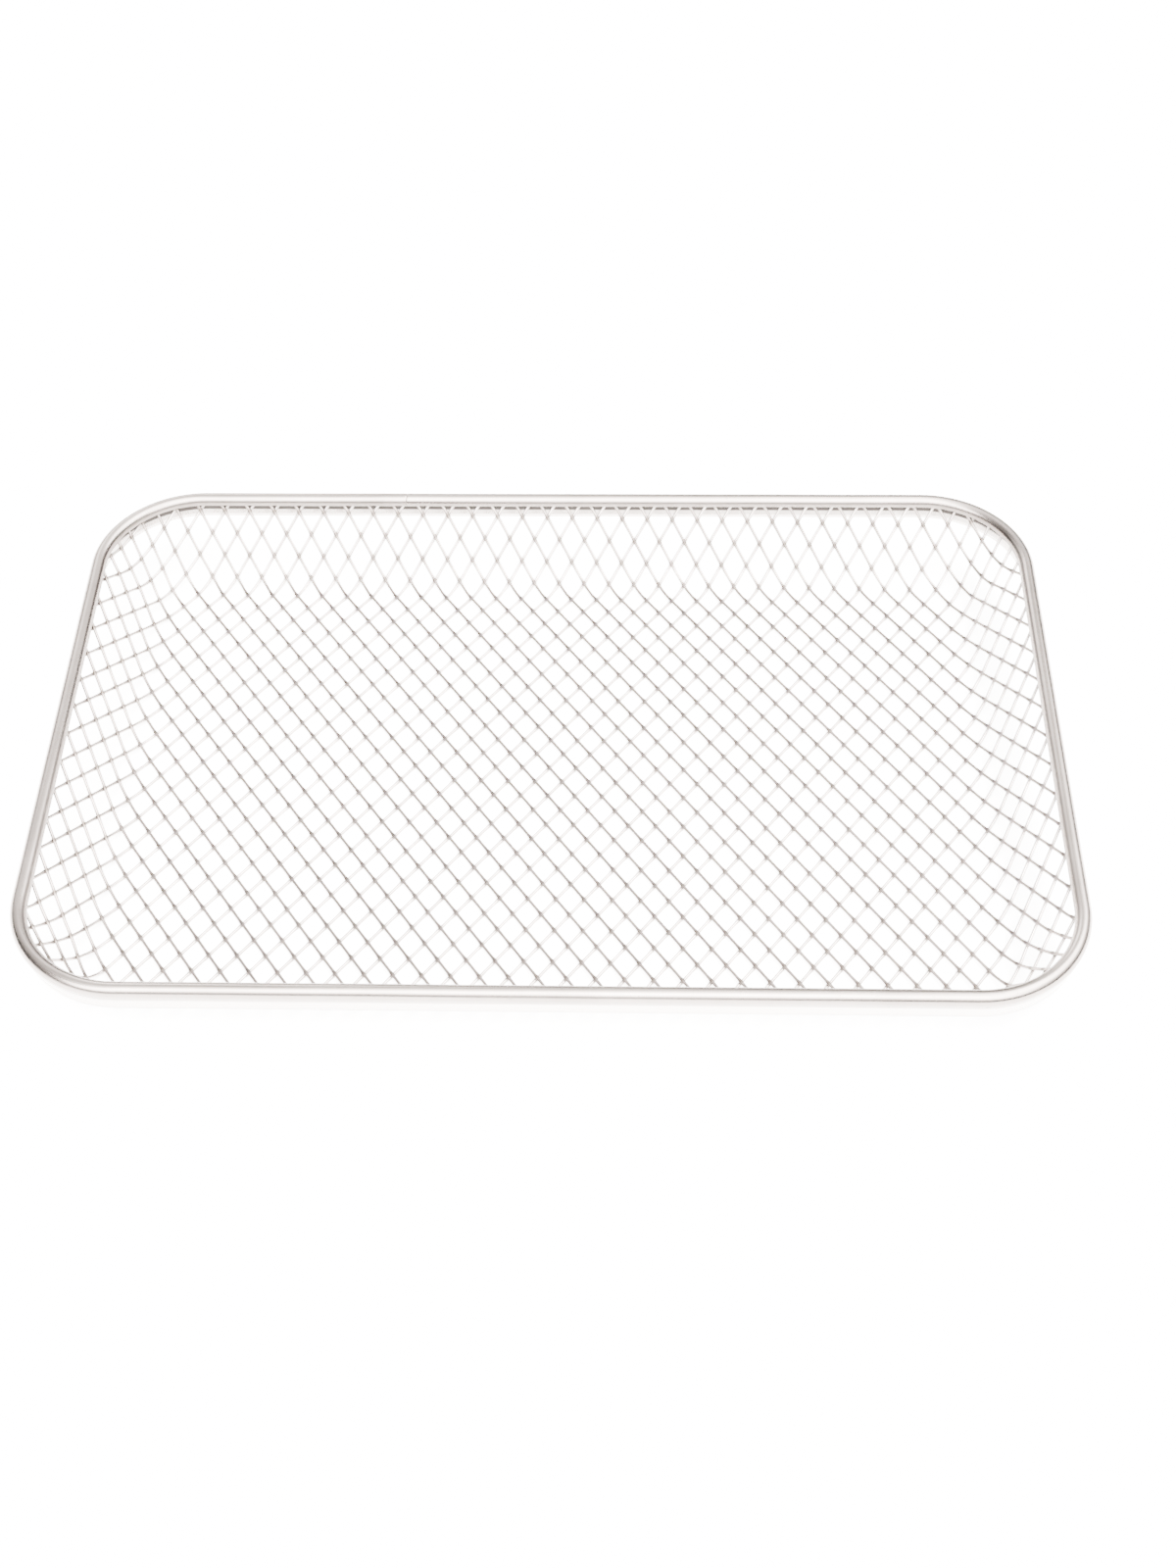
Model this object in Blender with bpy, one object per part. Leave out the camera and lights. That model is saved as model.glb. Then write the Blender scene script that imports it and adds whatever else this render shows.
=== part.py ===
"""Shallow rectangular wire-mesh tray for cooling and crisping bakes.

Two families of straight round wires cross at a slant and form a flat floor that
bends up into four sloping walls with large round corners.  A bent steel strip,
rolled over the ends of the wires, makes the rim.  +Z is up, the long side runs
along X, and the origin is under the middle of the tray on the surface it rests on.

Each family of wires lies in a layer of its own, one over the other.  Neighbouring
wires are joined two by two with a short link that is hidden in the rolled rim.
"""
import math

import bmesh
import bpy
from mathutils import Matrix, Vector

MM = 0.001

# Rim: a strip rolled into a bead on top, with a skirt that hangs outside the wall.
RIM_LENGTH = 325.0 * MM         # along X, between the middles of the bead
RIM_DEPTH = 217.0 * MM          # along Y, between the middles of the bead
RIM_CORNER_RADIUS = 34.0 * MM   # of the middle of the bead, in plan
RIM_ABOVE_MESH = 21.7 * MM      # middle of the bead above the middle of the floor mesh
BEAD_RADIUS = 2.6 * MM
STRIP_THICKNESS = 0.6 * MM
SKIRT_SET_BACK = 0.4 * MM       # the skirt leaves the bead this far inside its outer line
SKIRT_LEAN = 1.2 * MM           # how far the skirt comes in towards its lower edge
SKIRT_DROP = 7.8 * MM           # lower edge of the skirt below the middle of the bead
RIM_CORNER_STEPS = 8
BEAD_STEPS = 10
BEAD_INSIDE_STEPS = 8

# Mesh wires.
WIRE_DIAMETER = 1.0 * MM
LAYER_GAP = 0.3 * MM            # between the two families of wires
WIRE_SIDES = 6
WIRE_ANGLE = math.radians(54.0)   # between a wire and the long side of the tray
CROSSING_PITCH = 7.65 * MM        # between two crossings along a wire
MESH_TURN = math.radians(-0.8)    # the mesh sits slightly askew in its rim
MESH_SHIFT = Vector((-2.2, -0.2)) * MM   # crossing nearest to the middle of the tray
SHORTEST_WIRE = 16.0 * MM

# Walls.
WALL_SLOPE = math.radians(47.0)
FRONT_SLOPE = math.radians(62.0)  # the front wall stands steeper than the other three
BEND_LENGTH = 11.5 * MM         # of mesh taken up by the bend from floor to wall
BEND_FACETS = 2
END_STRETCH = 1.28              # the long walls are drawn this much taller than the flat mesh
WIRE_PAST_BEAD_MIDDLE = 0.3 * MM  # how far a wire's end reaches past the middle of the bead

# Making a wire's path.
SAMPLE_STEP = 1.0 * MM
PATH_TOLERANCE = 0.15 * MM
LINK_CORNER_CUT = 0.8 * MM
HALVINGS = 40                   # when a path is searched for a place on it
LEVEL = 1e-4                    # a span that rises less than this per length lies on the floor
CREASE_WIDTH = 1e-3 * MM        # a point this near to the edge of the floor lies on the floor

LAYER_OFFSET = (WIRE_DIAMETER + LAYER_GAP) / 2
MESH_HEIGHT = LAYER_OFFSET + WIRE_DIAMETER / 2
BEAD_HEIGHT = MESH_HEIGHT + RIM_ABOVE_MESH

SHARP_EDGE = math.radians(65.0)   # edges that turn more than this are drawn sharp
STEEL_COLOUR = (0.62, 0.60, 0.57, 1.0)
STEEL_ROUGHNESS = 0.32
RIM_COLOUR = (0.70, 0.69, 0.67, 1.0)
RIM_ROUGHNESS = 0.2


def wall_facets(slope):
    """Length and tilt of each flat strip of a wall's section, from the floor up."""
    facets = []
    for number in range(BEND_FACETS):
        tilt = slope * (number + 1) / (BEND_FACETS + 1)
        facets.append((BEND_LENGTH / BEND_FACETS, tilt))
    risen = sum(length * math.sin(tilt) for length, tilt in facets)
    facets.append(((RIM_ABOVE_MESH - risen) / math.sin(slope), slope))
    return facets


WALL_RUN = wall_facets(WALL_SLOPE)[-1][0]   # of mesh, from the bend to the bead
RUN_END = BEND_LENGTH + WALL_RUN + WIRE_PAST_BEAD_MIDDLE
CORE = Vector((RIM_LENGTH / 2 - RIM_CORNER_RADIUS, RIM_DEPTH / 2 - RIM_CORNER_RADIUS))


def slope_facing(direction):
    """Slope of the wall that faces a direction; it changes evenly round a corner."""
    return WALL_SLOPE + (FRONT_SLOPE - WALL_SLOPE) * max(0.0, -direction.y) ** 2


def floor_reach(direction):
    """Distance in a direction from the core rectangle to the edge of the floor."""
    facets = wall_facets(slope_facing(direction))
    return RIM_CORNER_RADIUS - sum(length * math.cos(tilt) for length, tilt in facets)


def wall_section(run, slope):
    """Outward distance, height and tilt at a length of mesh past the edge of the floor.

    Past the bend the length counts as on a wall of WALL_SLOPE, whatever the slope.
    """
    out = 0.0
    up = 0.0
    facets = wall_facets(slope)
    for length, tilt in facets[:-1]:
        if run <= length:
            return out + run * math.cos(tilt), up + run * math.sin(tilt), tilt
        out += length * math.cos(tilt)
        up += length * math.sin(tilt)
        run -= length
    length, tilt = facets[-1]
    climbed = run * length / WALL_RUN
    return out + climbed * math.cos(tilt), up + climbed * math.sin(tilt), tilt


def split(flat):
    """Anchor on the core rectangle, outward direction and distance of a point of flat mesh."""
    anchor = Vector((max(-CORE.x, min(CORE.x, flat.x)), max(-CORE.y, min(CORE.y, flat.y))))
    arm = flat - anchor
    if arm.length < 1e-9:
        return anchor, Vector((0.0, 0.0)), 0.0
    return anchor, arm.normalized(), arm.length


def stretch(direction):
    """How much the mesh is drawn out on the wall that faces a direction."""
    return 1.0 + (END_STRETCH - 1.0) * direction.y ** 2


def run_at(flat):
    """Length of wall mesh between the edge of the floor and a point of flat mesh."""
    anchor, direction, distance = split(flat)
    return (distance - floor_reach(direction)) * stretch(direction)


def formed(flat, layer):
    """Place and inward normal of a point of flat mesh once the tray is formed."""
    anchor, direction, distance = split(flat)
    reach = floor_reach(direction)
    run = (distance - reach) * stretch(direction)
    if run <= CREASE_WIDTH:
        return Vector((flat.x, flat.y, MESH_HEIGHT + layer)), Vector((0.0, 0.0, 1.0))
    out, up, tilt = wall_section(run, slope_facing(direction))
    plan = anchor + direction * (reach + out)
    normal = Vector((-direction.x * math.sin(tilt), -direction.y * math.sin(tilt), math.cos(tilt)))
    return Vector((plan.x, plan.y, MESH_HEIGHT + up)) + normal * layer, normal


def pushed_out(flat):
    """The point of the mesh's cut edge that lies straight up the wall from a flat point."""
    anchor, direction, distance = split(flat)
    return anchor + direction * (floor_reach(direction) + RUN_END / stretch(direction))


def crossing(start, end, run):
    """Point between start and end where the wall mesh reaches the given run."""
    rising = run_at(end) > run_at(start)
    for _ in range(HALVINGS):
        middle = (start + end) / 2
        if (run_at(middle) < run) == rising:
            start = middle
        else:
            end = middle
    return (start + end) / 2


def wire_ends(through, along):
    """Both ends of the wire that passes through a point of flat mesh, or None."""
    reach = RIM_LENGTH
    steps = int(2 * reach / SAMPLE_STEP)
    line = [through + along * (-reach + SAMPLE_STEP * number) for number in range(steps)]
    inside = [number for number, point in enumerate(line) if run_at(point) < RUN_END]
    if not inside:
        return None
    first = crossing(line[inside[0] - 1], line[inside[0]], RUN_END)
    last = crossing(line[inside[-1]], line[inside[-1] + 1], RUN_END)
    if (last - first).length < SHORTEST_WIRE:
        return None
    return first, last


def family_wires(angle):
    """The ends of every wire of the family that runs at the given angle, side by side."""
    along = Vector((math.cos(angle), math.sin(angle)))
    spacing = 2 * CROSSING_PITCH * math.cos(WIRE_ANGLE)
    across = Vector((math.cos(MESH_TURN), math.sin(MESH_TURN))) * spacing
    most = int((RIM_LENGTH + RIM_DEPTH) / spacing)
    wires = [wire_ends(MESH_SHIFT + across * number, along) for number in range(-most, most)]
    return [wire for wire in wires if wire]


def straight(start, end):
    """Points along a straight stretch of flat mesh, with one on every crease it crosses."""
    count = max(1, round((end - start).length / SAMPLE_STEP))
    points = [start.lerp(end, number / count) for number in range(count + 1)]
    creases = [BEND_LENGTH * number / BEND_FACETS for number in range(BEND_FACETS + 1)]
    path = [(points[0], True)]
    for before, after in zip(points[:-1], points[1:]):
        low, high = sorted((run_at(before), run_at(after)))
        met = [run for run in creases if low < run < high]
        if run_at(after) < run_at(before):
            met.reverse()
        path += [(crossing(before, after, run), True) for run in met]
        path.append((after, False))
    path[-1] = (path[-1][0], True)
    return path


def hairpin(first_wire, second_wire):
    """Flat path of two neighbouring wires and the link in the rim that joins them."""
    near, far = Vector(first_wire[0]), Vector(first_wire[1])
    next_near, next_far = Vector(second_wire[0]), Vector(second_wire[1])
    toward_far = (far - near).normalized()
    gap = (next_near - near).length
    count = max(4, round(gap / SAMPLE_STEP))
    margin = LINK_CORNER_CUT / gap
    path = straight(far, near + toward_far * LINK_CORNER_CUT)
    for number in range(count + 1):
        share = margin + (1 - 2 * margin) * number / count
        ends_here = number in (0, count)
        path.append((pushed_out(near.lerp(next_near, share)), ends_here))
    path += straight(next_near + toward_far * LINK_CORNER_CUT, next_far)
    return path


def thinned(samples):
    """The fewest samples that keep a path within tolerance, with every kept corner."""
    chosen = []

    def keep(low, high):
        start, end = samples[low][0], samples[high][0]
        chord = end - start
        worst, worst_at = 0.0, None
        for number in range(low + 1, high):
            offset = samples[number][0] - start
            share = max(0.0, min(1.0, offset.dot(chord) / max(chord.length_squared, 1e-18)))
            distance = (offset - chord * share).length
            if distance > worst:
                worst, worst_at = distance, number
        if worst > PATH_TOLERANCE:
            keep(low, worst_at)
            keep(worst_at, high)
        else:
            chosen.append(samples[high])

    corners = [number for number, sample in enumerate(samples) if sample[2]]
    chosen.append(samples[0])
    for low, high in zip(corners[:-1], corners[1:]):
        keep(low, high)
    return chosen


def section_ring(centre, along, normal, cut):
    """Corners of a wire's section about a point, slid along the wire to a cutting plane.

    None of them goes below the surface that the tray rests on.
    """
    up = (normal - along * normal.dot(along)).normalized()
    side = along.cross(up)
    radius = WIRE_DIAMETER / 2 / math.cos(math.pi / WIRE_SIDES)
    ring = []
    for number in range(WIRE_SIDES):
        turn = 2 * math.pi * number / WIRE_SIDES
        corner = (side * math.cos(turn) + up * math.sin(turn)) * radius
        slide = corner.dot(cut) / along.dot(cut)
        point = centre + corner - along * slide
        point.z = max(point.z, 0.0)
        ring.append(point)
    return ring


def wire_mesh(name, flat_path, layer):
    """Mesh of a round wire that follows a path of flat mesh points in its own layer."""
    samples = []
    for flat, corner in flat_path:
        place, normal = formed(flat, layer)
        samples.append((place, normal, corner))
    path = thinned(samples)
    spans = [after[0] - before[0] for before, after in zip(path[:-1], path[1:])]
    ways = [span.normalized() for span in spans]
    normals = [before[1] + after[1] for before, after in zip(path[:-1], path[1:])]
    build = bmesh.new()
    rings = []
    for number, sample in enumerate(path):
        either_side = (max(number - 1, 0), min(number, len(spans) - 1))
        cut = (ways[either_side[0]] + ways[either_side[1]]).normalized()
        source = min(either_side, key=lambda span: (abs(ways[span].z) > LEVEL, -spans[span].length))
        corners = section_ring(sample[0], ways[source], normals[source], cut)
        rings.append([build.verts.new(point) for point in corners])
    for low, high in zip(rings[:-1], rings[1:]):
        for number in range(WIRE_SIDES):
            following = (number + 1) % WIRE_SIDES
            build.faces.new((low[number], low[following], high[following], high[number]))
    build.faces.new(list(reversed(rings[0])))
    build.faces.new(rings[-1])
    return finished_mesh(name, build)


def finished_mesh(name, build):
    """Turn a bmesh into a mesh with its faces pointing out and smooth round sides."""
    bmesh.ops.triangulate(build, faces=[face for face in build.faces if len(face.verts) > 4])
    bmesh.ops.recalc_face_normals(build, faces=build.faces)
    mesh = bpy.data.meshes.new(name)
    build.to_mesh(mesh)
    build.free()
    mesh.shade_smooth()
    mesh.set_sharp_from_angle(angle=SHARP_EDGE)
    return mesh


def rim_section():
    """Corners of the rolled strip's section: distance outward and up from the bead's middle."""
    inner_radius = BEAD_RADIUS - STRIP_THICKNESS
    skirt_out = BEAD_RADIUS - SKIRT_SET_BACK
    skirt_in = skirt_out - STRIP_THICKNESS
    crease = -math.acos(skirt_out / BEAD_RADIUS)
    inner_crease = -math.acos(skirt_in / inner_radius)
    corners = []
    for number in range(BEAD_STEPS + 1):
        turn = crease + (math.pi - crease) * number / BEAD_STEPS
        corners.append((BEAD_RADIUS * math.cos(turn), BEAD_RADIUS * math.sin(turn)))
    for number in range(BEAD_INSIDE_STEPS + 1):
        turn = math.pi + (inner_crease - math.pi) * number / BEAD_INSIDE_STEPS
        corners.append((inner_radius * math.cos(turn), inner_radius * math.sin(turn)))
    corners.append((skirt_in - SKIRT_LEAN, -SKIRT_DROP))
    corners.append((skirt_out - SKIRT_LEAN, -SKIRT_DROP))
    return corners


def rim_mesh(name):
    """Mesh of the strip's section carried once round the rounded rectangle."""
    section = rim_section()
    build = bmesh.new()
    rings = []
    for quarter, (side_x, side_y) in enumerate(((1, 1), (-1, 1), (-1, -1), (1, -1))):
        for step in range(RIM_CORNER_STEPS + 1):
            turn = math.pi / 2 * (quarter + step / RIM_CORNER_STEPS)
            outward = Vector((math.cos(turn), math.sin(turn), 0.0))
            middle = Vector((side_x * CORE.x, side_y * CORE.y, BEAD_HEIGHT))
            ring = []
            for out, up in section:
                place = middle + outward * (RIM_CORNER_RADIUS + out)
                ring.append(build.verts.new(place + Vector((0.0, 0.0, up))))
            rings.append(ring)
    for low, high in zip(rings, rings[1:] + rings[:1]):
        for number in range(len(section)):
            following = (number + 1) % len(section)
            build.faces.new((low[number], low[following], high[following], high[number]))
    return finished_mesh(name, build)


def steel(name, colour, roughness):
    """A plain steel material."""
    material = bpy.data.materials.new(name)
    material.use_nodes = True
    shader = material.node_tree.nodes["Principled BSDF"]
    shader.inputs["Base Color"].default_value = colour
    shader.inputs["Metallic"].default_value = 1.0
    shader.inputs["Roughness"].default_value = roughness
    material.diffuse_color = colour
    return material


def place_object(name, mesh, material, parent):
    """Put a mesh in the scene as a named object under the tray's empty."""
    mesh.materials.append(material)
    piece = bpy.data.objects.new(name, mesh)
    piece.parent = parent
    piece.matrix_parent_inverse = Matrix.Identity(4)
    bpy.context.scene.collection.objects.link(piece)


def make_wires(prefix, angle, layer, parent):
    """All the wires of one family, as numbered pairs from left to right."""
    wires = family_wires(angle)
    for number in range(len(wires) // 2):
        name = f"{prefix}_{number + 1:02d}"
        path = hairpin(wires[2 * number], wires[2 * number + 1])
        mesh = wire_mesh(name, path, layer)
        place_object(name, mesh, steel(name, STEEL_COLOUR, STEEL_ROUGHNESS), parent)
    if len(wires) % 2:
        name = f"{prefix}_{len(wires) // 2 + 1:02d}"
        mesh = wire_mesh(name, straight(*wires[-1]), layer)
        place_object(name, mesh, steel(name, STEEL_COLOUR, STEEL_ROUGHNESS), parent)


def main():
    for old in list(bpy.data.objects):
        bpy.data.objects.remove(old, do_unlink=True)
    tray = bpy.data.objects.new("tray", None)
    bpy.context.scene.collection.objects.link(tray)
    rim_steel = steel("rim_strip", RIM_COLOUR, RIM_ROUGHNESS)
    place_object("rim_strip", rim_mesh("rim_strip"), rim_steel, tray)
    make_wires("lower_wires", MESH_TURN + WIRE_ANGLE, -LAYER_OFFSET, tray)
    make_wires("upper_wires", MESH_TURN - WIRE_ANGLE, LAYER_OFFSET, tray)


main()
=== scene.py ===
"""Looks of the wire-mesh tray: 104 steel wires, welded where they cross, in a rolled rim.

The wires and the rim are rebuilt in detail on the same lines as the CAD, each as a piece
of its own.  All lengths are metres.
"""
import math
import random

import bpy
from mathutils import Matrix, Vector, noise


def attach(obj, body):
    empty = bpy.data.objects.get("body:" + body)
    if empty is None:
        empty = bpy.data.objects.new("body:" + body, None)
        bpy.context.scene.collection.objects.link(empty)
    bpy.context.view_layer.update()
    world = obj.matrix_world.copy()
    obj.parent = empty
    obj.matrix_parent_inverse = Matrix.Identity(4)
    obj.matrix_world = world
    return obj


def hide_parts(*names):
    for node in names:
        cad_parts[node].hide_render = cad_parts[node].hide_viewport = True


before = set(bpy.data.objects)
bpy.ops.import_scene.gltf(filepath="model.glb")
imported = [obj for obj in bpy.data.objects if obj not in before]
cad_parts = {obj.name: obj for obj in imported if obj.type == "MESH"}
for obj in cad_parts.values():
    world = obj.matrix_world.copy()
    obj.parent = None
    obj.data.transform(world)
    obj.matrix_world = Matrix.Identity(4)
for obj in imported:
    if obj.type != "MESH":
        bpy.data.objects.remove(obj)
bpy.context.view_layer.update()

MM = 0.001

# Rim, as in the CAD.
RIM_LENGTH = 325.0 * MM         # along X, between the middles of the bead
RIM_DEPTH = 217.0 * MM          # along Y, between the middles of the bead
RIM_CORNER_RADIUS = 34.0 * MM
BEAD_HEIGHT = 22.85 * MM        # middle of the bead above the floor
BEAD_RADIUS = 2.6 * MM
STRIP_THICKNESS = 0.6 * MM
SKIRT_OUT = 2.2 * MM            # outer face of the skirt from the bead's middle, at the crease
SKIRT_LEAN = 1.2 * MM           # how far the skirt's foot lies inside its crease
SKIRT_DROP = 7.8 * MM           # from the bead's middle to the skirt's foot

# Rim, in detail.
BEAD_STEPS = 30                 # round the bead's outer face
BEAD_INSIDE_STEPS = 16          # round its inner face
LIP_TURN = math.radians(188.0)  # where the rolled edge ends, from the outward direction
CREASE_REACH = 0.7 * MM         # the crease is eased over this much of each side
CREASE_STEPS = 4
EDGE_ROUND = 0.18 * MM          # how far the strip's cut edges stand out
EDGE_SHOULDERS = (0.22, 0.78)   # places across an edge that stand out by EDGE_ROUND
EDGE_CROWN = 1.3                # how much more than that the middle of an edge stands out
SKIRT_INNER_SHARES = (0.3, 0.56, 0.62, 0.8, 1.0)    # places down the skirt's inner face
SKIRT_OUTER_SHARES = (0.0, 0.3, 0.6)                # and up its outer face
STATION_STEP = 6.0 * MM         # between sections on the straights
CORNER_STATIONS = 26
# Painted shade in the fold, on the strip's inner face: full at and above the first of these
# heights, none below the second.
FOLD_PAINTED_SHADE_FULL_ABOVE = -4.9 * MM     # from the bead's middle, on the strip's inner face
FOLD_PAINTED_SHADE_GONE_BELOW = -5.3 * MM
SEAM_X = -56.0 * MM             # where the strip's ends meet, on the back
SEAM_HALF_WIDTH = 0.14 * MM
SEAM_MARGIN = 3 * SEAM_HALF_WIDTH
SEAM_DEPTH = 0.16 * MM
WAVINESS = 0.05 * MM            # how uneven the rim is, out and up
WAVE_SCALE = 28.0
WAVE_LAYERS = (0.0, 0.7)        # where in the noise the two are taken

# Mesh, as in the CAD.
WIRE_RADIUS = 0.5 * MM
WIRE_ANGLE = math.radians(54.0)  # of a wire to the long side
CROSSING_PITCH = 7.65 * MM      # between crossings, along a wire
MESH_TURN = math.radians(-0.8)  # the mesh sits a little askew in its rim
MESH_SHIFT = Vector((-2.2, -0.2)) * MM
SHORTEST_WIRE = 12.0 * MM       # shorter wires, in the corners, are left out
WALL_SLOPE = math.radians(47.0)
FRONT_SLOPE = math.radians(62.0)
BEND_LENGTH = 11.5 * MM         # of mesh in the bend between the floor and a wall
END_STRETCH = 1.28              # how much the mesh is drawn out on the front and back walls
WIRE_PAST_BEAD_MIDDLE = 0.3 * MM

# Mesh, in detail: two layers of straight wires, pressed and welded where they cross.
LAYER_OFFSET = 0.46 * MM        # of a wire's middle from the middle of the mesh
FLOOR_GAP = 0.01 * MM           # below the lower layer
MESH_HEIGHT = LAYER_OFFSET + WIRE_RADIUS + FLOOR_GAP
RINGS_AT_CROSSING = [place * MM for place in (-2.5, -1.1, -0.45, 0.0, 0.45, 1.1, 2.5)]
RING_CLEARANCE = 0.2 * MM       # least distance of a ring from a wire's end
WELD_REACH = 0.95 * MM
WELD_SWELL = 0.34               # how much wider a wire is at a weld
WIRE_SIDES = 10
SEARCH_STEP = 1.0 * MM          # along a wire, when its ends are looked for
SEARCH_HALVINGS = 40
NO_LENGTH = 1e-9

SHARP_ANGLE = math.radians(50.0)  # an edge that turns further is shaded sharp

# Core rectangle: the middles of the rim's corners.
CORE = Vector((RIM_LENGTH / 2 - RIM_CORNER_RADIUS, RIM_DEPTH / 2 - RIM_CORNER_RADIUS))


# ---------------------------------------------------------------- mesh surface

def climb(slope):
    """Length of the straight part of a wall, from its round bend to the bead."""
    bend_up = BEND_LENGTH / slope * (1 - math.cos(slope))
    return (BEAD_HEIGHT - MESH_HEIGHT - bend_up) / math.sin(slope)


WALL_RUN = climb(WALL_SLOPE)
RUN_END = BEND_LENGTH + WALL_RUN + WIRE_PAST_BEAD_MIDDLE


def slope_facing(direction):
    """Slope of the wall that faces a direction; it changes evenly round a corner."""
    return WALL_SLOPE + (FRONT_SLOPE - WALL_SLOPE) * max(0.0, -direction.y) ** 2


def floor_reach(direction):
    """Distance in a direction from the core rectangle to the edge of the floor."""
    slope = slope_facing(direction)
    bend_out = BEND_LENGTH / slope * math.sin(slope)
    return RIM_CORNER_RADIUS - bend_out - climb(slope) * math.cos(slope)


def split(flat):
    """Anchor on the core rectangle, outward direction and distance of a flat mesh point."""
    anchor = Vector((max(-CORE.x, min(CORE.x, flat.x)), max(-CORE.y, min(CORE.y, flat.y))))
    arm = flat - anchor
    if arm.length < NO_LENGTH:
        return anchor, Vector((0.0, 0.0)), 0.0
    return anchor, arm.normalized(), arm.length


def stretch(direction):
    """How much the mesh is drawn out on the wall that faces a direction."""
    return 1.0 + (END_STRETCH - 1.0) * direction.y ** 2


def run_at(flat):
    """Length of wall mesh between the edge of the floor and a flat mesh point."""
    _, direction, distance = split(flat)
    return (distance - floor_reach(direction)) * stretch(direction)


def wall_section(run, slope):
    """Outward distance, height and tilt at a length of mesh past the edge of the floor.

    Past the bend the length counts as on a wall of WALL_SLOPE, whatever the slope.
    """
    bend_radius = BEND_LENGTH / slope
    tilt = min(run, BEND_LENGTH) / bend_radius
    rest = max(run - BEND_LENGTH, 0.0) * climb(slope) / WALL_RUN
    out = bend_radius * math.sin(tilt) + rest * math.cos(tilt)
    up = bend_radius * (1 - math.cos(tilt)) + rest * math.sin(tilt)
    return out, up, tilt


def formed(flat, lift):
    """Place and inward normal of a flat mesh point, lifted off the formed mesh."""
    anchor, direction, distance = split(flat)
    reach = floor_reach(direction)
    run = (distance - reach) * stretch(direction)
    if run <= 0.0:
        return Vector((flat.x, flat.y, MESH_HEIGHT + lift)), Vector((0.0, 0.0, 1.0))
    out, up, tilt = wall_section(run, slope_facing(direction))
    plan = anchor + direction * (reach + out)
    sine = math.sin(tilt)
    normal = Vector((-direction.x * sine, -direction.y * sine, math.cos(tilt)))
    return Vector((plan.x, plan.y, MESH_HEIGHT + up)) + normal * lift, normal


# ---------------------------------------------------------------- wires

def edge_between(start, end):
    """Distance from start, along start to end, where the mesh's cut edge is met."""
    low, high = 0.0, 1.0
    rising = run_at(end) > run_at(start)
    for _ in range(SEARCH_HALVINGS):
        middle = (low + high) / 2
        if (run_at(start.lerp(end, middle)) < RUN_END) == rising:
            low = middle
        else:
            high = middle
    return low * (end - start).length


def wire_span(through, along):
    """Where the wire through a flat point starts and ends, from that point, or None."""
    count = int(RIM_LENGTH / SEARCH_STEP)
    places = [SEARCH_STEP * number for number in range(-count, count + 1)]
    inside = [place for place in places if run_at(through + along * place) < RUN_END]
    if not inside:
        return None
    low, high = inside[0], inside[-1]
    before, after = low - SEARCH_STEP, high + SEARCH_STEP
    first = before + edge_between(through + along * before, through + along * low)
    last = high + edge_between(through + along * high, through + along * after)
    return (first, last) if last - first >= SHORTEST_WIRE else None


def family_lines(angle):
    """Flat line and span of each wire of a family, from left to right."""
    along = Vector((math.cos(angle), math.sin(angle)))
    spacing = 2 * CROSSING_PITCH * math.cos(WIRE_ANGLE)
    across = Vector((math.cos(MESH_TURN), math.sin(MESH_TURN))) * spacing
    most = int((RIM_LENGTH + RIM_DEPTH) / spacing)
    lines = []
    for number in range(-most, most):
        through = MESH_SHIFT + across * number
        span = wire_span(through, along)
        if span:
            lines.append((through, along, span))
    return lines


def ring_places(span):
    """Distances along a wire at which it has a ring of points, each with its nearness.

    The nearness is 1 at a crossing and falls to 0 away from it.
    """
    places = [(span[0], 0.0)]
    first = math.floor(span[0] / CROSSING_PITCH)
    last = math.ceil(span[1] / CROSSING_PITCH)
    for number in range(first, last + 1):
        for offset in RINGS_AT_CROSSING:
            place = number * CROSSING_PITCH + offset
            if span[0] + RING_CLEARANCE < place < span[1] - RING_CLEARANCE:
                places.append((place, math.exp(-(offset / WELD_REACH) ** 2)))
    return places + [(span[1], 0.0)]


def store(mesh, name, values, kind="FLOAT", field="value"):
    """Keep a value for each point of a mesh as an attribute."""
    mesh.attributes.new(name, kind, "POINT").data.foreach_set(field, values)


def wire_mesh(name, line, layer, tone):
    """Mesh of one wire in its layer, a little wider at each weld.

    Its point attributes are the wire's own straight coordinates, how near the point is to
    a crossing, and the wire's tone.
    """
    through, along, span = line
    places = ring_places(span)
    course = [formed(through + along * place, layer) for place, _ in places]
    points, straight, near = [], [], []
    for number, (middle, normal) in enumerate(course):
        place, weld = places[number]
        tangent = course[min(number + 1, len(course) - 1)][0] - course[max(number - 1, 0)][0]
        side = tangent.cross(normal).normalized()
        up = side.cross(tangent).normalized()
        width = WIRE_RADIUS * (1 + WELD_SWELL * weld)
        for corner in range(WIRE_SIDES):
            turn = 2 * math.pi * corner / WIRE_SIDES
            across, above = math.cos(turn) * width, math.sin(turn) * WIRE_RADIUS
            points.append(middle + side * across + up * above)
            straight += (place, across, above)
            near.append(weld)
    faces = []
    for low in range(0, len(points) - WIRE_SIDES, WIRE_SIDES):
        for corner in range(WIRE_SIDES):
            following = (corner + 1) % WIRE_SIDES
            faces.append((low + corner, low + following,
                          low + WIRE_SIDES + following, low + WIRE_SIDES + corner))
    faces.append(tuple(reversed(range(WIRE_SIDES))))
    faces.append(tuple(range(len(points) - WIRE_SIDES, len(points))))
    mesh = bpy.data.meshes.new(name)
    mesh.from_pydata(points, [], faces)
    store(mesh, "straight", straight, "FLOAT_VECTOR", "vector")
    store(mesh, "near_crossing", near)
    store(mesh, "tone", [tone] * len(points))
    return mesh


# ---------------------------------------------------------------- rim

def eased(before, corner, after):
    """Points of a small round that takes the place of a corner between two points."""
    reach_in = (before - corner).normalized() * min(CREASE_REACH, (before - corner).length)
    reach_out = (after - corner).normalized() * min(CREASE_REACH, (after - corner).length)
    start, end = corner + reach_in, corner + reach_out
    curve = []
    for number in range(CREASE_STEPS + 1):
        share = number / CREASE_STEPS
        curve.append(start.lerp(corner, share).lerp(corner.lerp(end, share), share))
    return curve


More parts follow.
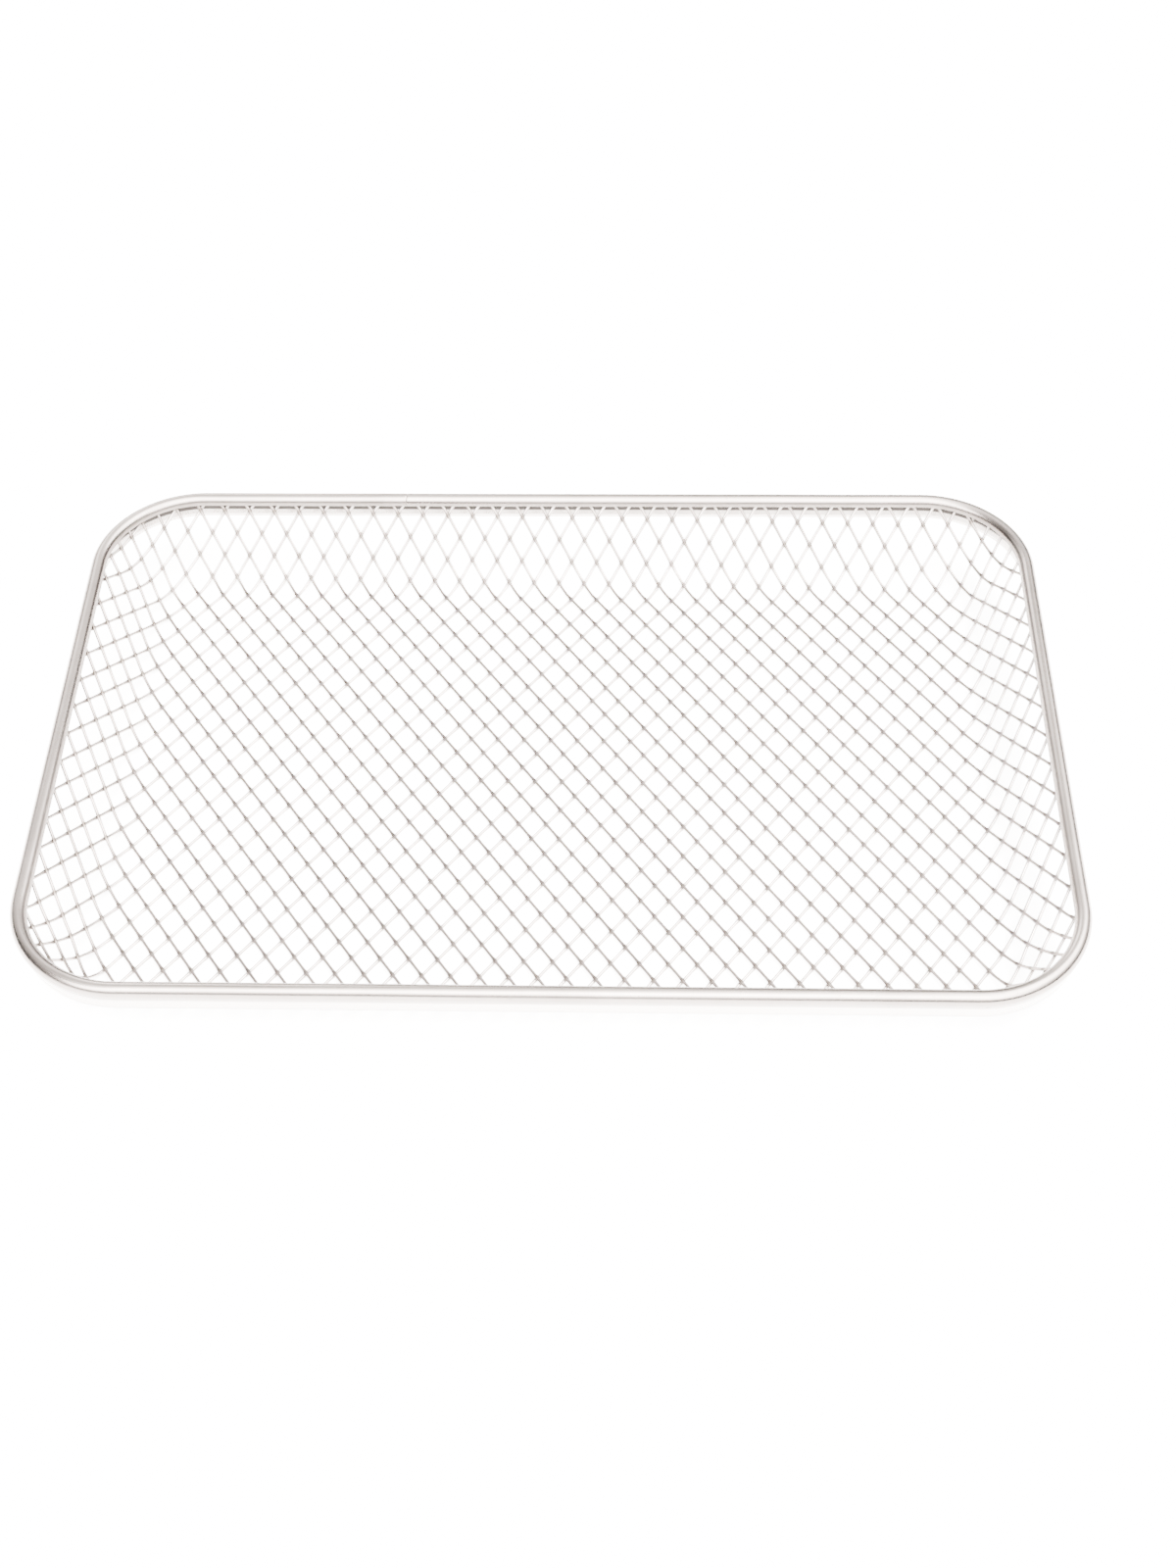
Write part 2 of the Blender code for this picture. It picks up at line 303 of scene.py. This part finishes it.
def arc(radius, first, last, steps):
    """Points of an arc about the bead's middle: distance outward and up."""
    turns = [first + (last - first) * number / steps for number in range(steps + 1)]
    return [Vector((radius * math.cos(turn), radius * math.sin(turn))) for turn in turns]


def rounded_edge(first, second):
    """Three points round the cut edge of the strip between its two faces."""
    out = Vector((second.y - first.y, first.x - second.x)).normalized() * EDGE_ROUND
    near, far = EDGE_SHOULDERS
    return [first.lerp(second, near) + out, (first + second) / 2 + out * EDGE_CROWN,
            first.lerp(second, far) + out]


def rim_section():
    """Points round the rolled strip's section, from its crease, and the painted shade at each.

    A point is its distance outward and up from the bead's middle.  The second list is the
    share of
    painted shade: 1 in the fold, falling to 0 on the skirt's lower part and on the outer face.
    """
    inner_radius = BEAD_RADIUS - STRIP_THICKNESS
    skirt_in = SKIRT_OUT - STRIP_THICKNESS
    crease_turn = -math.acos(SKIRT_OUT / BEAD_RADIUS)
    inner_turn = -math.acos(skirt_in / inner_radius)
    skirt_foot = Vector((SKIRT_OUT - SKIRT_LEAN, -SKIRT_DROP))
    inner_foot = Vector((skirt_in - SKIRT_LEAN, -SKIRT_DROP))
    outer = arc(BEAD_RADIUS, crease_turn, LIP_TURN, BEAD_STEPS)
    inner = arc(inner_radius, LIP_TURN, inner_turn, BEAD_INSIDE_STEPS)
    points = eased(skirt_foot, outer[0], outer[2]) + outer[3:]
    points += rounded_edge(outer[-1], inner[0])
    first_inside = len(points)
    points += inner
    points += [inner[-1].lerp(inner_foot, share) for share in SKIRT_INNER_SHARES]
    last_inside = len(points)
    points += rounded_edge(inner_foot, skirt_foot)
    points += [skirt_foot.lerp(outer[0], share) for share in SKIRT_OUTER_SHARES]
    # The share of painted shade in the fold, on the inner face only.
    inside = [0.0] * len(points)
    for number in range(first_inside, last_inside):
        depth = (points[number].y - FOLD_PAINTED_SHADE_GONE_BELOW) / (FOLD_PAINTED_SHADE_FULL_ABOVE - FOLD_PAINTED_SHADE_GONE_BELOW)
        inside[number] = max(0.0, min(1.0, depth))
    return points, inside


def rim_stations():
    """Plan places of the bead's middle, each with its outward direction.

    They go once round the rim, counter-clockwise from above, from the seam on the back.
    """
    half_x, half_y = RIM_LENGTH / 2, RIM_DEPTH / 2
    seam = Vector((SEAM_X, half_y))
    stations = []

    def straight(start, end, outward):
        """Add the stations of a straight side, without its end."""
        count = math.ceil((end - start).length / STATION_STEP)
        stations.extend((start.lerp(end, number / count), outward) for number in range(count))

    def corner(side_x, side_y, first_quarter):
        """Add the stations of a corner, from a number of quarter turns on."""
        middle = Vector((side_x * CORE.x, side_y * CORE.y))
        for number in range(CORNER_STATIONS):
            turn = math.pi / 2 * (first_quarter + number / CORNER_STATIONS)
            outward = Vector((math.cos(turn), math.sin(turn)))
            stations.append((middle + outward * RIM_CORNER_RADIUS, outward))

    back = Vector((0.0, 1.0))
    margin = Vector((SEAM_MARGIN, 0.0))
    lip = Vector((SEAM_HALF_WIDTH, 0.0))
    stations += [(seam, back), (seam - lip, back)]
    straight(seam - margin, Vector((-CORE.x, half_y)), back)
    corner(-1, 1, 1)
    straight(Vector((-half_x, CORE.y)), Vector((-half_x, -CORE.y)), Vector((-1.0, 0.0)))
    corner(-1, -1, 2)
    straight(Vector((-CORE.x, -half_y)), Vector((CORE.x, -half_y)), Vector((0.0, -1.0)))
    corner(1, -1, 3)
    straight(Vector((half_x, -CORE.y)), Vector((half_x, CORE.y)), Vector((1.0, 0.0)))
    corner(1, 1, 0)
    straight(Vector((CORE.x, half_y)), seam + margin, back)
    stations += [(seam + margin, back), (seam + lip, back)]
    return stations


def rim_mesh(name):
    """Mesh of the rolled strip, slightly uneven, with a fine seam where its ends meet.

    Its point attributes are the strip's own straight coordinates and the share of painted
    shade at the point, in the fold.
    """
    section, inside = rim_section()
    stations = rim_stations()
    points, straight = [], []
    length = 0.0
    for number, (place, outward) in enumerate(stations):
        if number:
            length += (place - stations[number - 1][0]).length
        wave, lift = (noise.noise(Vector((place.x, place.y, layer)) * WAVE_SCALE) * WAVINESS
                      for layer in WAVE_LAYERS)
        sunk = 1.0 - (SEAM_DEPTH / BEAD_RADIUS if number == 0 else 0.0)
        for spot in section:
            out, up = spot.x * sunk + wave, spot.y * (sunk if spot.y > 0 else 1.0) + lift
            plan = place + outward * out
            points.append(Vector((plan.x, plan.y, BEAD_HEIGHT + up)))
            straight += (length, spot.x, spot.y)
    size = len(section)
    faces = []
    for station in range(len(stations)):
        low, high = station * size, (station + 1) % len(stations) * size
        for spot in range(size):
            following = (spot + 1) % size
            faces.append((low + spot, high + spot, high + following, low + following))
    mesh = bpy.data.meshes.new(name)
    mesh.from_pydata(points, [], faces)
    store(mesh, "straight", straight, "FLOAT_VECTOR", "vector")
    # The share of painted shade in the fold, at each point.
    store(mesh, "inside", inside * len(stations))
    return mesh


# ---------------------------------------------------------------- materials

# A texture's scales are along the strip or wire and across it; a noise is its scale, detail
# and roughness; a range is two values and what they become; a bump is its strength and
# height.  A wire's steel is its clean and dull colour and the share at a crossing of a darker
# colour, which is weld tint and painted contact shade.
# Lit and shaded copies of one steel: the lower family is painted lighter, a painted
# reflection, and the upper family painted darker, a painted shade.
LOWER_STEEL_PAINTED_LIGHT = ((0.62, 0.56, 0.525, 1.0), (0.50, 0.447, 0.415, 1.0), 0.85)
UPPER_STEEL_PAINTED_SHADE = ((0.33, 0.284, 0.261, 1.0), (0.26, 0.223, 0.203, 1.0), 0.95)
WIRE_LINE_COLOUR = (0.16, 0.13, 0.11, 1.0)
WIRE_LINE_SCALES = (60.0, 9000.0, 9000.0)
WIRE_LINE_NOISE = (1.0, 3.0, 0.6)
WIRE_LINE_RANGE = (0.3, 0.7, 0.0, 0.22)
WIRE_LINE_BUMP = (0.25, 0.02 * MM)
WIRE_PATCH_NOISE = (95.0, 4.0, 0.6)
WIRE_PATCH_RANGE = (0.35, 0.68, 0.0, 1.0)
WIRE_ROUGHNESS = (0.3, 0.7, 0.27, 0.42)
WIRE_TONES = (0.0, 1.0, 0.86, 1.1)
TONE_SEED = 11
# Weld tint and painted contact shade at crossings; the crossings are also rougher.
CROSSING_TINT_AND_SHADE_COLOUR = (0.07, 0.055, 0.045, 1.0)
CROSSING_ROUGHER = 0.12

RIM_CLEAN = (0.31, 0.272, 0.25, 1.0)
RIM_DULL = (0.24, 0.209, 0.191, 1.0)
RIM_CLOUD_NOISE = (42.0, 4.0, 0.6)
RIM_CLOUD_RANGE = (0.35, 0.7, 0.0, 1.0)
RIM_CLOUD_BUMP = (0.15, 0.15 * MM)
BRUSHED_COLOUR = (0.18, 0.154, 0.138, 1.0)
BRUSHED_SCALES = (22.0, 4200.0, 4200.0)
BRUSHED_NOISE = (1.0, 4.0, 0.62)
BRUSHED_RANGE = (0.35, 0.75, 0.0, 0.3)
BRUSHED_BUMP = (0.3, 0.02 * MM)
STREAK_SCALES = (7.0, 900.0, 900.0)
STREAK_NOISE = (1.0, 2.0, 0.5)
STREAK_ROUGHNESS = (0.3, 0.7, 0.22, 0.34)
SCUFF_COLOUR = (0.20, 0.175, 0.158, 1.0)
SCUFF_SCALES = (420.0, 1500.0, 1500.0)
SCUFF_NOISE = (1.0, 1.0, 0.4)
SCUFF_RANGE = (0.70, 0.78, 0.0, 0.4)
SCUFF_ROUGHER = 0.2
# Painted reflection of the bright floor: the skirt is painted paler than the bead.
SKIRT_PAINTED_LIGHT_COLOUR = (0.70, 0.655, 0.62, 1.0)
SKIRT_PAINTED_LIGHT_RANGE = (-3.2 * MM, -1.8 * MM, 0.8, 0.0)      # of height from the bead's middle
# Painted shade inside the fold: its colour, how much of it shows where it is full, and the
# roughness there.
FOLD_PAINTED_SHADE_COLOUR = (0.03, 0.026, 0.023, 1.0)
FOLD_PAINTED_SHADE_SHARE = 0.95
FOLD_ROUGHNESS = 0.6
RIM_PLAIN_COLOUR = (0.6, 0.56, 0.52, 1.0)           # where the nodes aren't shown


class Nodes:
    """A few shorthands for building a material's node tree."""

    def __init__(self, name):
        self.material = bpy.data.materials.new(name)
        self.material.use_nodes = True
        self.tree = self.material.node_tree
        self.shader = self.tree.nodes["Principled BSDF"]

    def link(self, value, socket):
        """Feed a socket from another socket or with a constant."""
        if isinstance(value, bpy.types.NodeSocket):
            self.tree.links.new(value, socket)
        else:
            socket.default_value = value

    def attribute(self, name, output):
        """Value of a mesh attribute."""
        node = self.tree.nodes.new("ShaderNodeAttribute")
        node.attribute_name = name
        return node.outputs[output]

    def part(self, vector, axis):
        """One coordinate of a vector."""
        node = self.tree.nodes.new("ShaderNodeSeparateXYZ")
        self.link(vector, node.inputs[0])
        return node.outputs[axis]

    def scaled(self, vector, scales):
        """A vector, each coordinate times its own scale."""
        node = self.tree.nodes.new("ShaderNodeVectorMath")
        node.operation = "MULTIPLY"
        self.link(vector, node.inputs[0])
        node.inputs[1].default_value = scales
        return node.outputs[0]

    def noise(self, vector, scale, detail, rough):
        """Cloudy noise between 0 and 1."""
        node = self.tree.nodes.new("ShaderNodeTexNoise")
        self.link(vector, node.inputs["Vector"])
        node.inputs["Scale"].default_value = scale
        node.inputs["Detail"].default_value = detail
        node.inputs["Roughness"].default_value = rough
        return node.outputs["Fac"]

    def ranged(self, value, low, high, to_low, to_high):
        """A value carried from one range to another and kept within it."""
        node = self.tree.nodes.new("ShaderNodeMapRange")
        self.link(value, node.inputs["Value"])
        for socket, number in (("From Min", low), ("From Max", high),
                               ("To Min", to_low), ("To Max", to_high)):
            self.link(number, node.inputs[socket])
        return node.outputs["Result"]

    def maths(self, operation, first, second):
        """Result of a math node."""
        node = self.tree.nodes.new("ShaderNodeMath")
        node.operation = operation
        self.link(first, node.inputs[0])
        self.link(second, node.inputs[1])
        return node.outputs[0]

    def mix(self, share, first, second, blend="MIX"):
        """First colour with a share of the second."""
        node = self.tree.nodes.new("ShaderNodeMix")
        node.data_type = "RGBA"
        node.blend_type = blend
        self.link(share, node.inputs["Factor"])
        self.link(first, node.inputs["A"])
        self.link(second, node.inputs["B"])
        return node.outputs["Result"]

    def bump(self, height, strength, distance, under=None):
        """Normal of a fine relief, over another one where there is one."""
        node = self.tree.nodes.new("ShaderNodeBump")
        node.inputs["Strength"].default_value = strength
        node.inputs["Distance"].default_value = distance
        self.link(height, node.inputs["Height"])
        if under is not None:
            self.link(under, node.inputs["Normal"])
        return node.outputs["Normal"]


def wire_steel(name, clean, dull, crossing_tint_and_shade):
    """Drawn steel wire: fine lines along it, cloudy patches and a darker colour at crossings,
    which is weld tint and painted contact shade.

    The last argument is how much of that colour shows at the middle of a crossing.
    """
    build = Nodes(name)
    straight = build.attribute("straight", "Vector")
    tone = build.attribute("tone", "Fac")
    place = build.tree.nodes.new("ShaderNodeNewGeometry").outputs["Position"]
    lines = build.noise(build.scaled(straight, WIRE_LINE_SCALES), *WIRE_LINE_NOISE)
    patches = build.noise(place, *WIRE_PATCH_NOISE)
    colour = build.mix(build.ranged(patches, *WIRE_PATCH_RANGE), clean, dull)
    colour = build.mix(build.ranged(lines, *WIRE_LINE_RANGE), colour, WIRE_LINE_COLOUR)
    near = build.attribute("near_crossing", "Fac")
    # Weld tint and painted contact shade, darkest at the middle of each crossing.
    colour = build.mix(build.maths("MULTIPLY", near, crossing_tint_and_shade), colour, CROSSING_TINT_AND_SHADE_COLOUR)
    shade = build.ranged(tone, *WIRE_TONES)
    grey = build.tree.nodes.new("ShaderNodeCombineColor")
    for channel in ("Red", "Green", "Blue"):
        build.link(shade, grey.inputs[channel])
    colour = build.mix(1.0, colour, grey.outputs["Color"], "MULTIPLY")
    build.link(colour, build.shader.inputs["Base Color"])
    build.shader.inputs["Metallic"].default_value = 1.0
    rough = build.maths("ADD", build.ranged(patches, *WIRE_ROUGHNESS),
                        build.maths("MULTIPLY", near, CROSSING_ROUGHER))
    build.link(rough, build.shader.inputs["Roughness"])
    build.link(build.bump(lines, *WIRE_LINE_BUMP), build.shader.inputs["Normal"])
    build.material.diffuse_color = clean
    return build.material


def rim_steel(name):
    """Rolled steel strip: brushed lines along it, scuffs, a painted reflection that makes the
    skirt paler and painted shade in the fold.
    """
    build = Nodes(name)
    straight = build.attribute("straight", "Vector")
    place = build.tree.nodes.new("ShaderNodeNewGeometry").outputs["Position"]
    brushed = build.noise(build.scaled(straight, BRUSHED_SCALES), *BRUSHED_NOISE)
    streaks = build.noise(build.scaled(straight, STREAK_SCALES), *STREAK_NOISE)
    clouds = build.noise(place, *RIM_CLOUD_NOISE)
    scuffs = build.noise(build.scaled(straight, SCUFF_SCALES), *SCUFF_NOISE)
    colour = build.mix(build.ranged(clouds, *RIM_CLOUD_RANGE), RIM_CLEAN, RIM_DULL)
    colour = build.mix(build.ranged(brushed, *BRUSHED_RANGE), colour, BRUSHED_COLOUR)
    scuffed = build.ranged(scuffs, *SCUFF_RANGE)
    colour = build.mix(scuffed, colour, SCUFF_COLOUR)
    # Painted reflection of the bright floor: the strip is painted paler down its skirt.
    skirt = build.ranged(build.part(straight, "Z"), *SKIRT_PAINTED_LIGHT_RANGE)
    colour = build.mix(skirt, colour, SKIRT_PAINTED_LIGHT_COLOUR)
    # Painted shade in the fold: the inner face is painted dark under the bead.
    inside = build.attribute("inside", "Fac")
    colour = build.mix(build.maths("MULTIPLY", inside, FOLD_PAINTED_SHADE_SHARE), colour, FOLD_PAINTED_SHADE_COLOUR)
    build.link(colour, build.shader.inputs["Base Color"])
    build.shader.inputs["Metallic"].default_value = 1.0
    rough = build.ranged(streaks, *STREAK_ROUGHNESS)
    rough = build.maths("ADD", rough, build.maths("MULTIPLY", scuffed, SCUFF_ROUGHER))
    rough = build.maths("MAXIMUM", rough, build.maths("MULTIPLY", inside, FOLD_ROUGHNESS))
    build.link(rough, build.shader.inputs["Roughness"])
    fine = build.bump(brushed, *BRUSHED_BUMP)
    build.link(build.bump(clouds, *RIM_CLOUD_BUMP, fine), build.shader.inputs["Normal"])
    build.material.diffuse_color = RIM_PLAIN_COLOUR
    return build.material


# ---------------------------------------------------------------- pieces

def add_piece(name, mesh, material, nodes):
    """Link a mesh as a piece of the tray that stands for CAD nodes."""
    mesh.materials.append(material)
    mesh.shade_smooth()
    mesh.set_sharp_from_angle(angle=SHARP_ANGLE)
    piece = bpy.data.objects.new(name, mesh)
    bpy.context.scene.collection.objects.link(piece)
    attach(piece, "root")
    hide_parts(*nodes)


def add_family(prefix, angle, layer, material, tones):
    """All the wires of one family, each of its own tone; two stand for each CAD node."""
    for number, line in enumerate(family_lines(angle)):
        name = f"{prefix}_wire_{number + 1:03d}"
        node = f"{prefix}_wires_{number // 2 + 1:02d}"
        mesh = wire_mesh(name, line, layer, tones.random())
        add_piece(name, mesh, material, [node])


# ---------------------------------------------------------------- stage

FLOOR_HALF = 1.6
FLOOR_COLOUR = (0.93, 0.922, 0.917, 1.0)
FLOOR_ROUGHNESS = 0.9
FLOOR_SPECULAR = 0.1
FLOOR_GLOW_COLOUR = (1.0, 0.99, 0.985, 1.0)
FLOOR_GLOW = 5.5
SKY_TINT = (1.0, 0.975, 0.955)
SKY_STOPS = (                   # height, shade
    (0.0, 0.015), (0.36, 0.015), (0.52, 0.20), (0.80, 0.30), (0.93, 1.0), (1.0, 1.0),
)
SKY_STRENGTH = 13.5
SKY_PATCHES = (                 # middle, closeness to it at the patch's rim and core, factor
    ((-0.68, 0.20, 0.70), 0.66, 0.90, 0.12),
    ((-0.60, 0.77, 0.22), 0.78, 0.95, 14.0),
    ((0.0, -0.80, 0.60), 0.30, 0.72, 3.2),
)
LIGHT_COLOUR = (1.0, 0.98, 0.965)
LIGHT_TARGET = (0.0, 0.0, 0.0)
LIGHTS = (                      # name, place, size, power
    ("front", (0.0, -1.15, 1.6), (3.4, 1.25), 340.0),
    ("back", (1.05, 0.38, 1.6), (1.5, 1.1), 170.0),
)
LENS = 50.72
LENS_SHIFT = (0.0209, -0.0109)
CLIP_START = 0.01
CAMERA_PLACE = Vector((24.22, -488.58, 557.55)) * MM
CAMERA_DOWN = math.radians(48.678)
CAMERA_TURN = math.radians(-2.838)
CAMERA_ROLL = math.radians(-1.757)


def pale_floor(name):
    """Material of the studio floor, pale and bright."""
    build = Nodes(name)
    build.shader.inputs["Base Color"].default_value = FLOOR_COLOUR
    build.shader.inputs["Roughness"].default_value = FLOOR_ROUGHNESS
    build.shader.inputs["Specular IOR Level"].default_value = FLOOR_SPECULAR
    build.shader.inputs["Emission Color"].default_value = FLOOR_GLOW_COLOUR
    build.shader.inputs["Emission Strength"].default_value = FLOOR_GLOW
    return build.material


def add_floor():
    """Square floor that the tray rests on."""
    mesh = bpy.data.meshes.new("floor")
    half = FLOOR_HALF
    mesh.from_pydata([(-half, -half, 0), (half, -half, 0), (half, half, 0), (-half, half, 0)],
                     [], [(0, 1, 2, 3)])
    mesh.materials.append(pale_floor("floor_white"))
    floor = bpy.data.objects.new("floor", mesh)
    bpy.context.scene.collection.objects.link(floor)


def add_light(name, place, size, power):
    """A soft rectangular light that faces the tray."""
    light = bpy.data.lights.new(name, "AREA")
    light.shape = "RECTANGLE"
    light.size, light.size_y = size
    light.energy = power
    light.color = LIGHT_COLOUR
    lamp = bpy.data.objects.new(name, light)
    lamp.location = place
    toward = Vector(LIGHT_TARGET) - Vector(place)
    lamp.rotation_euler = toward.to_track_quat("-Z", "Y").to_euler()
    bpy.context.scene.collection.objects.link(lamp)


def add_world():
    """Surroundings that are pale overhead and dark near the horizon, with three patches."""
    world = bpy.data.worlds.new("studio")
    bpy.context.scene.world = world
    world.use_nodes = True
    tree = world.node_tree
    direction = tree.nodes.new("ShaderNodeTexCoord").outputs["Generated"]
    height = tree.nodes.new("ShaderNodeSeparateXYZ")
    tree.links.new(direction, height.inputs[0])
    ramp = tree.nodes.new("ShaderNodeValToRGB")
    tree.links.new(height.outputs["Z"], ramp.inputs[0])
    ends = ramp.color_ramp.elements
    for place, shade in SKY_STOPS:
        if place in (0.0, 1.0):
            stop = ends[0 if place == 0.0 else len(ends) - 1]
        else:
            stop = ends.new(place)
        stop.color = (*(shade * tint for tint in SKY_TINT), 1.0)
    strength = None
    for middle, rim, core, factor in SKY_PATCHES:
        toward = tree.nodes.new("ShaderNodeVectorMath")
        toward.operation = "DOT_PRODUCT"
        tree.links.new(direction, toward.inputs[0])
        toward.inputs[1].default_value = middle
        patch = tree.nodes.new("ShaderNodeMapRange")
        patch.interpolation_type = "SMOOTHSTEP"
        tree.links.new(toward.outputs["Value"], patch.inputs["Value"])
        for socket, number in (("From Min", rim), ("From Max", core),
                               ("To Min", 1.0), ("To Max", factor)):
            patch.inputs[socket].default_value = number
        product = tree.nodes.new("ShaderNodeMath")
        product.operation = "MULTIPLY"
        tree.links.new(patch.outputs["Result"], product.inputs[0])
        if strength is None:
            product.inputs[1].default_value = SKY_STRENGTH
        else:
            tree.links.new(strength, product.inputs[1])
        strength = product.outputs[0]
    background = tree.nodes["Background"]
    tree.links.new(ramp.outputs["Color"], background.inputs["Color"])
    tree.links.new(strength, background.inputs["Strength"])


def add_camera():
    """Camera that looks down on the tray from the front."""
    ahead = Vector((math.sin(CAMERA_TURN) * math.cos(CAMERA_DOWN),
                    math.cos(CAMERA_TURN) * math.cos(CAMERA_DOWN), -math.sin(CAMERA_DOWN)))
    level = ahead.cross(Vector((0.0, 0.0, 1.0))).normalized()
    upright = level.cross(ahead)
    right = level * math.cos(CAMERA_ROLL) + upright * math.sin(CAMERA_ROLL)
    up = upright * math.cos(CAMERA_ROLL) - level * math.sin(CAMERA_ROLL)
    data = bpy.data.cameras.new("camera")
    data.lens = LENS
    data.shift_x, data.shift_y = LENS_SHIFT
    data.clip_start = CLIP_START
    camera = bpy.data.objects.new("camera", data)
    turn = Matrix((right, up, -ahead)).transposed()
    camera.matrix_world = Matrix.Translation(CAMERA_PLACE) @ turn.to_4x4()
    bpy.context.scene.collection.objects.link(camera)
    bpy.context.scene.camera = camera


# ---------------------------------------------------------------- the scene

# A light or camera that is already there goes.
for old in [each for each in bpy.data.objects if each.type in {"LIGHT", "CAMERA"}]:
    bpy.data.objects.remove(old, do_unlink=True)

add_piece("rim", rim_mesh("rim"), rim_steel("rim_steel"), ["rim_strip"])
tones = random.Random(TONE_SEED)
# One steel in two copies: the lower family painted lighter and the upper painted darker, for
# how each reflects the lights.
lower = wire_steel("lower_wire_steel", *LOWER_STEEL_PAINTED_LIGHT)
upper = wire_steel("upper_wire_steel", *UPPER_STEEL_PAINTED_SHADE)
add_family("lower", MESH_TURN + WIRE_ANGLE, -LAYER_OFFSET, lower, tones)
add_family("upper", MESH_TURN - WIRE_ANGLE, LAYER_OFFSET, upper, tones)

add_floor()
add_world()
for light in LIGHTS:
    add_light(*light)
add_camera()
